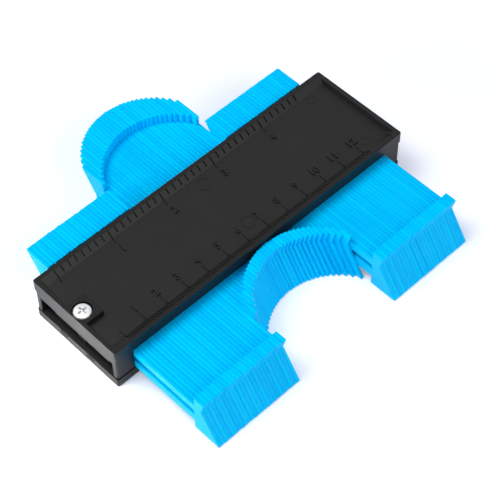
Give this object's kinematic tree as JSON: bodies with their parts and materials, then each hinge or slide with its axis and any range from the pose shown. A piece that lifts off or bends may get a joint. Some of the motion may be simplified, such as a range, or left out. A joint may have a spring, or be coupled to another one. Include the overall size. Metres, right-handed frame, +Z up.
{
  "type": "contour gauge",
  "caption": "Contour gauge: thin sliding leaves held side by side in a flat ruled housing, which copy and keep the outline pressed into them.",
  "frame": {"origin": "middle of the housing's flat underside", "axes": "+X along the housing from the screw end to the closed end, -Y towards the centimetre scale, +Z up through the ruled face"},
  "size_m": [0.145, 0.1313, 0.021],
  "materials": {
    "black_abs": "moulded ABS, satin",
    "cyan_abs": "moulded ABS, satin",
    "plated_steel": "bright zinc plated"
  },
  "bodies": {
    "housing": {"base_plate": "black_abs", "upper_cover": "black_abs", "guide_bar": "plated_steel", "tension_nut": "plated_steel", "base_screw_front": "plated_steel", "base_screw_rear": "plated_steel"},
    "tension_screw": {"tension_screw": "plated_steel"},
    "leaves_01_to_02": {"leaves_01_to_02": "cyan_abs"},
    "leaves_03_to_04": {"leaves_03_to_04": "cyan_abs"},
    "leaves_05_to_06": {"leaves_05_to_06": "cyan_abs"},
    "leaves_07_to_09": {"leaves_07_to_09": "cyan_abs"},
    "leaves_10_to_11": {"leaves_10_to_11": "cyan_abs"},
    "leaves_12_to_13": {"leaves_12_to_13": "cyan_abs"},
    "leaves_14_to_15": {"leaves_14_to_15": "cyan_abs"},
    "leaves_16_to_18": {"leaves_16_to_18": "cyan_abs"},
    "leaves_19_to_20": {"leaves_19_to_20": "cyan_abs"},
    "leaves_21_to_22": {"leaves_21_to_22": "cyan_abs"},
    "leaves_23_to_25": {"leaves_23_to_25": "cyan_abs"},
    "leaf_26": {"leaf_26": "cyan_abs"},
    "leaf_27": {"leaf_27": "cyan_abs"},
    "leaf_28": {"leaf_28": "cyan_abs"},
    "leaf_29": {"leaf_29": "cyan_abs"},
    "leaf_30": {"leaf_30": "cyan_abs"},
    "leaf_31": {"leaf_31": "cyan_abs"},
    "leaf_32": {"leaf_32": "cyan_abs"},
    "leaf_33": {"leaf_33": "cyan_abs"},
    "leaf_34": {"leaf_34": "cyan_abs"},
    "leaf_35": {"leaf_35": "cyan_abs"},
    "leaf_36": {"leaf_36": "cyan_abs"},
    "leaf_37": {"leaf_37": "cyan_abs"},
    "leaf_38": {"leaf_38": "cyan_abs"},
    "leaf_39": {"leaf_39": "cyan_abs"},
    "leaf_40": {"leaf_40": "cyan_abs"},
    "leaf_41": {"leaf_41": "cyan_abs"},
    "leaf_42": {"leaf_42": "cyan_abs"},
    "leaf_43": {"leaf_43": "cyan_abs"},
    "leaf_44": {"leaf_44": "cyan_abs"},
    "leaf_45": {"leaf_45": "cyan_abs"},
    "leaf_46": {"leaf_46": "cyan_abs"},
    "leaf_47": {"leaf_47": "cyan_abs"},
    "leaf_48": {"leaf_48": "cyan_abs"},
    "leaf_49": {"leaf_49": "cyan_abs"},
    "leaf_50": {"leaf_50": "cyan_abs"},
    "leaf_51": {"leaf_51": "cyan_abs"},
    "leaf_52": {"leaf_52": "cyan_abs"},
    "leaf_53": {"leaf_53": "cyan_abs"},
    "leaf_54": {"leaf_54": "cyan_abs"},
    "leaf_55": {"leaf_55": "cyan_abs"},
    "leaf_56": {"leaf_56": "cyan_abs"},
    "leaves_57_to_59": {"leaves_57_to_59": "cyan_abs"},
    "leaves_60_to_61": {"leaves_60_to_61": "cyan_abs"},
    "leaves_62_to_63": {"leaves_62_to_63": "cyan_abs"},
    "leaves_64_to_66": {"leaves_64_to_66": "cyan_abs"},
    "leaves_67_to_68": {"leaves_67_to_68": "cyan_abs"},
    "leaves_69_to_70": {"leaves_69_to_70": "cyan_abs"},
    "leaves_71_to_72": {"leaves_71_to_72": "cyan_abs"},
    "leaves_73_to_75": {"leaves_73_to_75": "cyan_abs"},
    "leaves_76_to_77": {"leaves_76_to_77": "cyan_abs"},
    "leaves_78_to_79": {"leaves_78_to_79": "cyan_abs"},
    "leaves_80_to_81": {"leaves_80_to_81": "cyan_abs"}
  },
  "joints": [
    {"name": "tension_screw_turn", "type": "hinge", "parent": "housing", "child": "tension_screw", "pos_m": [-0.06815, 0, 0.0208], "axis": [0, 0, 1], "range_deg": [-180, 180]},
    {"name": "leaves_01_to_02_slide", "type": "slide", "parent": "housing", "child": "leaves_01_to_02", "axis": [0, 1, 0], "range_m": [-0.00154, 0.03015]},
    {"name": "leaves_03_to_04_slide", "type": "slide", "parent": "housing", "child": "leaves_03_to_04", "axis": [0, 1, 0], "range_m": [-0.00154, 0.03015]},
    {"name": "leaves_05_to_06_slide", "type": "slide", "parent": "housing", "child": "leaves_05_to_06", "axis": [0, 1, 0], "range_m": [-0.00154, 0.03015]},
    {"name": "leaves_07_to_09_slide", "type": "slide", "parent": "housing", "child": "leaves_07_to_09", "axis": [0, 1, 0], "range_m": [-0.00154, 0.03015]},
    {"name": "leaves_10_to_11_slide", "type": "slide", "parent": "housing", "child": "leaves_10_to_11", "axis": [0, 1, 0], "range_m": [-0.00154, 0.03015]},
    {"name": "leaves_12_to_13_slide", "type": "slide", "parent": "housing", "child": "leaves_12_to_13", "axis": [0, 1, 0], "range_m": [-0.00154, 0.03015]},
    {"name": "leaves_14_to_15_slide", "type": "slide", "parent": "housing", "child": "leaves_14_to_15", "axis": [0, 1, 0], "range_m": [-0.00154, 0.03015]},
    {"name": "leaves_16_to_18_slide", "type": "slide", "parent": "housing", "child": "leaves_16_to_18", "axis": [0, 1, 0], "range_m": [-0.00154, 0.03015]},
    {"name": "leaves_19_to_20_slide", "type": "slide", "parent": "housing", "child": "leaves_19_to_20", "axis": [0, 1, 0], "range_m": [-0.00154, 0.03015]},
    {"name": "leaves_21_to_22_slide", "type": "slide", "parent": "housing", "child": "leaves_21_to_22", "axis": [0, 1, 0], "range_m": [-0.00154, 0.03015]},
    {"name": "leaves_23_to_25_slide", "type": "slide", "parent": "housing", "child": "leaves_23_to_25", "axis": [0, 1, 0], "range_m": [-0.00154, 0.03015]},
    {"name": "leaf_26_slide", "type": "slide", "parent": "housing", "child": "leaf_26", "axis": [0, 1, 0], "range_m": [-0.01691, 0.01478]},
    {"name": "leaf_27_slide", "type": "slide", "parent": "housing", "child": "leaf_27", "axis": [0, 1, 0], "range_m": [-0.01967, 0.01202]},
    {"name": "leaf_28_slide", "type": "slide", "parent": "housing", "child": "leaf_28", "axis": [0, 1, 0], "range_m": [-0.02184, 0.00985]},
    {"name": "leaf_29_slide", "type": "slide", "parent": "housing", "child": "leaf_29", "axis": [0, 1, 0], "range_m": [-0.02362, 0.00807]},
    {"name": "leaf_30_slide", "type": "slide", "parent": "housing", "child": "leaf_30", "axis": [0, 1, 0], "range_m": [-0.02512, 0.00657]},
    {"name": "leaf_31_slide", "type": "slide", "parent": "housing", "child": "leaf_31", "axis": [0, 1, 0], "range_m": [-0.0264, 0.00529]},
    {"name": "leaf_32_slide", "type": "slide", "parent": "housing", "child": "leaf_32", "axis": [0, 1, 0], "range_m": [-0.02749, 0.0042]},
    {"name": "leaf_33_slide", "type": "slide", "parent": "housing", "child": "leaf_33", "axis": [0, 1, 0], "range_m": [-0.02842, 0.00327]},
    {"name": "leaf_34_slide", "type": "slide", "parent": "housing", "child": "leaf_34", "axis": [0, 1, 0], "range_m": [-0.02922, 0.00247]},
    {"name": "leaf_35_slide", "type": "slide", "parent": "housing", "child": "leaf_35", "axis": [0, 1, 0], "range_m": [-0.02988, 0.00181]},
    {"name": "leaf_36_slide", "type": "slide", "parent": "housing", "child": "leaf_36", "axis": [0, 1, 0], "range_m": [-0.03044, 0.00125]},
    {"name": "leaf_37_slide", "type": "slide", "parent": "housing", "child": "leaf_37", "axis": [0, 1, 0], "range_m": [-0.03088, 0.00081]},
    {"name": "leaf_38_slide", "type": "slide", "parent": "housing", "child": "leaf_38", "axis": [0, 1, 0], "range_m": [-0.03122, 0.00047]},
    {"name": "leaf_39_slide", "type": "slide", "parent": "housing", "child": "leaf_39", "axis": [0, 1, 0], "range_m": [-0.03146, 0.00023]},
    {"name": "leaf_40_slide", "type": "slide", "parent": "housing", "child": "leaf_40", "axis": [0, 1, 0], "range_m": [-0.0316, 0.00009]},
    {"name": "leaf_41_slide", "type": "slide", "parent": "housing", "child": "leaf_41", "axis": [0, 1, 0], "range_m": [-0.03165, 0.00004]},
    {"name": "leaf_42_slide", "type": "slide", "parent": "housing", "child": "leaf_42", "axis": [0, 1, 0], "range_m": [-0.0316, 0.00009]},
    {"name": "leaf_43_slide", "type": "slide", "parent": "housing", "child": "leaf_43", "axis": [0, 1, 0], "range_m": [-0.03146, 0.00023]},
    {"name": "leaf_44_slide", "type": "slide", "parent": "housing", "child": "leaf_44", "axis": [0, 1, 0], "range_m": [-0.03122, 0.00047]},
    {"name": "leaf_45_slide", "type": "slide", "parent": "housing", "child": "leaf_45", "axis": [0, 1, 0], "range_m": [-0.03088, 0.00081]},
    {"name": "leaf_46_slide", "type": "slide", "parent": "housing", "child": "leaf_46", "axis": [0, 1, 0], "range_m": [-0.03044, 0.00125]},
    {"name": "leaf_47_slide", "type": "slide", "parent": "housing", "child": "leaf_47", "axis": [0, 1, 0], "range_m": [-0.02988, 0.00181]},
    {"name": "leaf_48_slide", "type": "slide", "parent": "housing", "child": "leaf_48", "axis": [0, 1, 0], "range_m": [-0.02922, 0.00247]},
    {"name": "leaf_49_slide", "type": "slide", "parent": "housing", "child": "leaf_49", "axis": [0, 1, 0], "range_m": [-0.02842, 0.00327]},
    {"name": "leaf_50_slide", "type": "slide", "parent": "housing", "child": "leaf_50", "axis": [0, 1, 0], "range_m": [-0.02749, 0.0042]},
    {"name": "leaf_51_slide", "type": "slide", "parent": "housing", "child": "leaf_51", "axis": [0, 1, 0], "range_m": [-0.0264, 0.00529]},
    {"name": "leaf_52_slide", "type": "slide", "parent": "housing", "child": "leaf_52", "axis": [0, 1, 0], "range_m": [-0.02512, 0.00657]},
    {"name": "leaf_53_slide", "type": "slide", "parent": "housing", "child": "leaf_53", "axis": [0, 1, 0], "range_m": [-0.02362, 0.00807]},
    {"name": "leaf_54_slide", "type": "slide", "parent": "housing", "child": "leaf_54", "axis": [0, 1, 0], "range_m": [-0.02184, 0.00985]},
    {"name": "leaf_55_slide", "type": "slide", "parent": "housing", "child": "leaf_55", "axis": [0, 1, 0], "range_m": [-0.01967, 0.01202]},
    {"name": "leaf_56_slide", "type": "slide", "parent": "housing", "child": "leaf_56", "axis": [0, 1, 0], "range_m": [-0.01691, 0.01478]},
    {"name": "leaves_57_to_59_slide", "type": "slide", "parent": "housing", "child": "leaves_57_to_59", "axis": [0, 1, 0], "range_m": [-0.00154, 0.03015]},
    {"name": "leaves_60_to_61_slide", "type": "slide", "parent": "housing", "child": "leaves_60_to_61", "axis": [0, 1, 0], "range_m": [-0.00154, 0.03015]},
    {"name": "leaves_62_to_63_slide", "type": "slide", "parent": "housing", "child": "leaves_62_to_63", "axis": [0, 1, 0], "range_m": [-0.00154, 0.03015]},
    {"name": "leaves_64_to_66_slide", "type": "slide", "parent": "housing", "child": "leaves_64_to_66", "axis": [0, 1, 0], "range_m": [-0.00154, 0.03015]},
    {"name": "leaves_67_to_68_slide", "type": "slide", "parent": "housing", "child": "leaves_67_to_68", "axis": [0, 1, 0], "range_m": [-0.00154, 0.03015]},
    {"name": "leaves_69_to_70_slide", "type": "slide", "parent": "housing", "child": "leaves_69_to_70", "axis": [0, 1, 0], "range_m": [-0.00154, 0.03015]},
    {"name": "leaves_71_to_72_slide", "type": "slide", "parent": "housing", "child": "leaves_71_to_72", "axis": [0, 1, 0], "range_m": [-0.00154, 0.03015]},
    {"name": "leaves_73_to_75_slide", "type": "slide", "parent": "housing", "child": "leaves_73_to_75", "axis": [0, 1, 0], "range_m": [-0.00154, 0.03015]},
    {"name": "leaves_76_to_77_slide", "type": "slide", "parent": "housing", "child": "leaves_76_to_77", "axis": [0, 1, 0], "range_m": [-0.00154, 0.03015]},
    {"name": "leaves_78_to_79_slide", "type": "slide", "parent": "housing", "child": "leaves_78_to_79", "axis": [0, 1, 0], "range_m": [-0.00154, 0.03015]},
    {"name": "leaves_80_to_81_slide", "type": "slide", "parent": "housing", "child": "leaves_80_to_81", "axis": [0, 1, 0], "range_m": [-0.00154, 0.03015]}
  ]
}
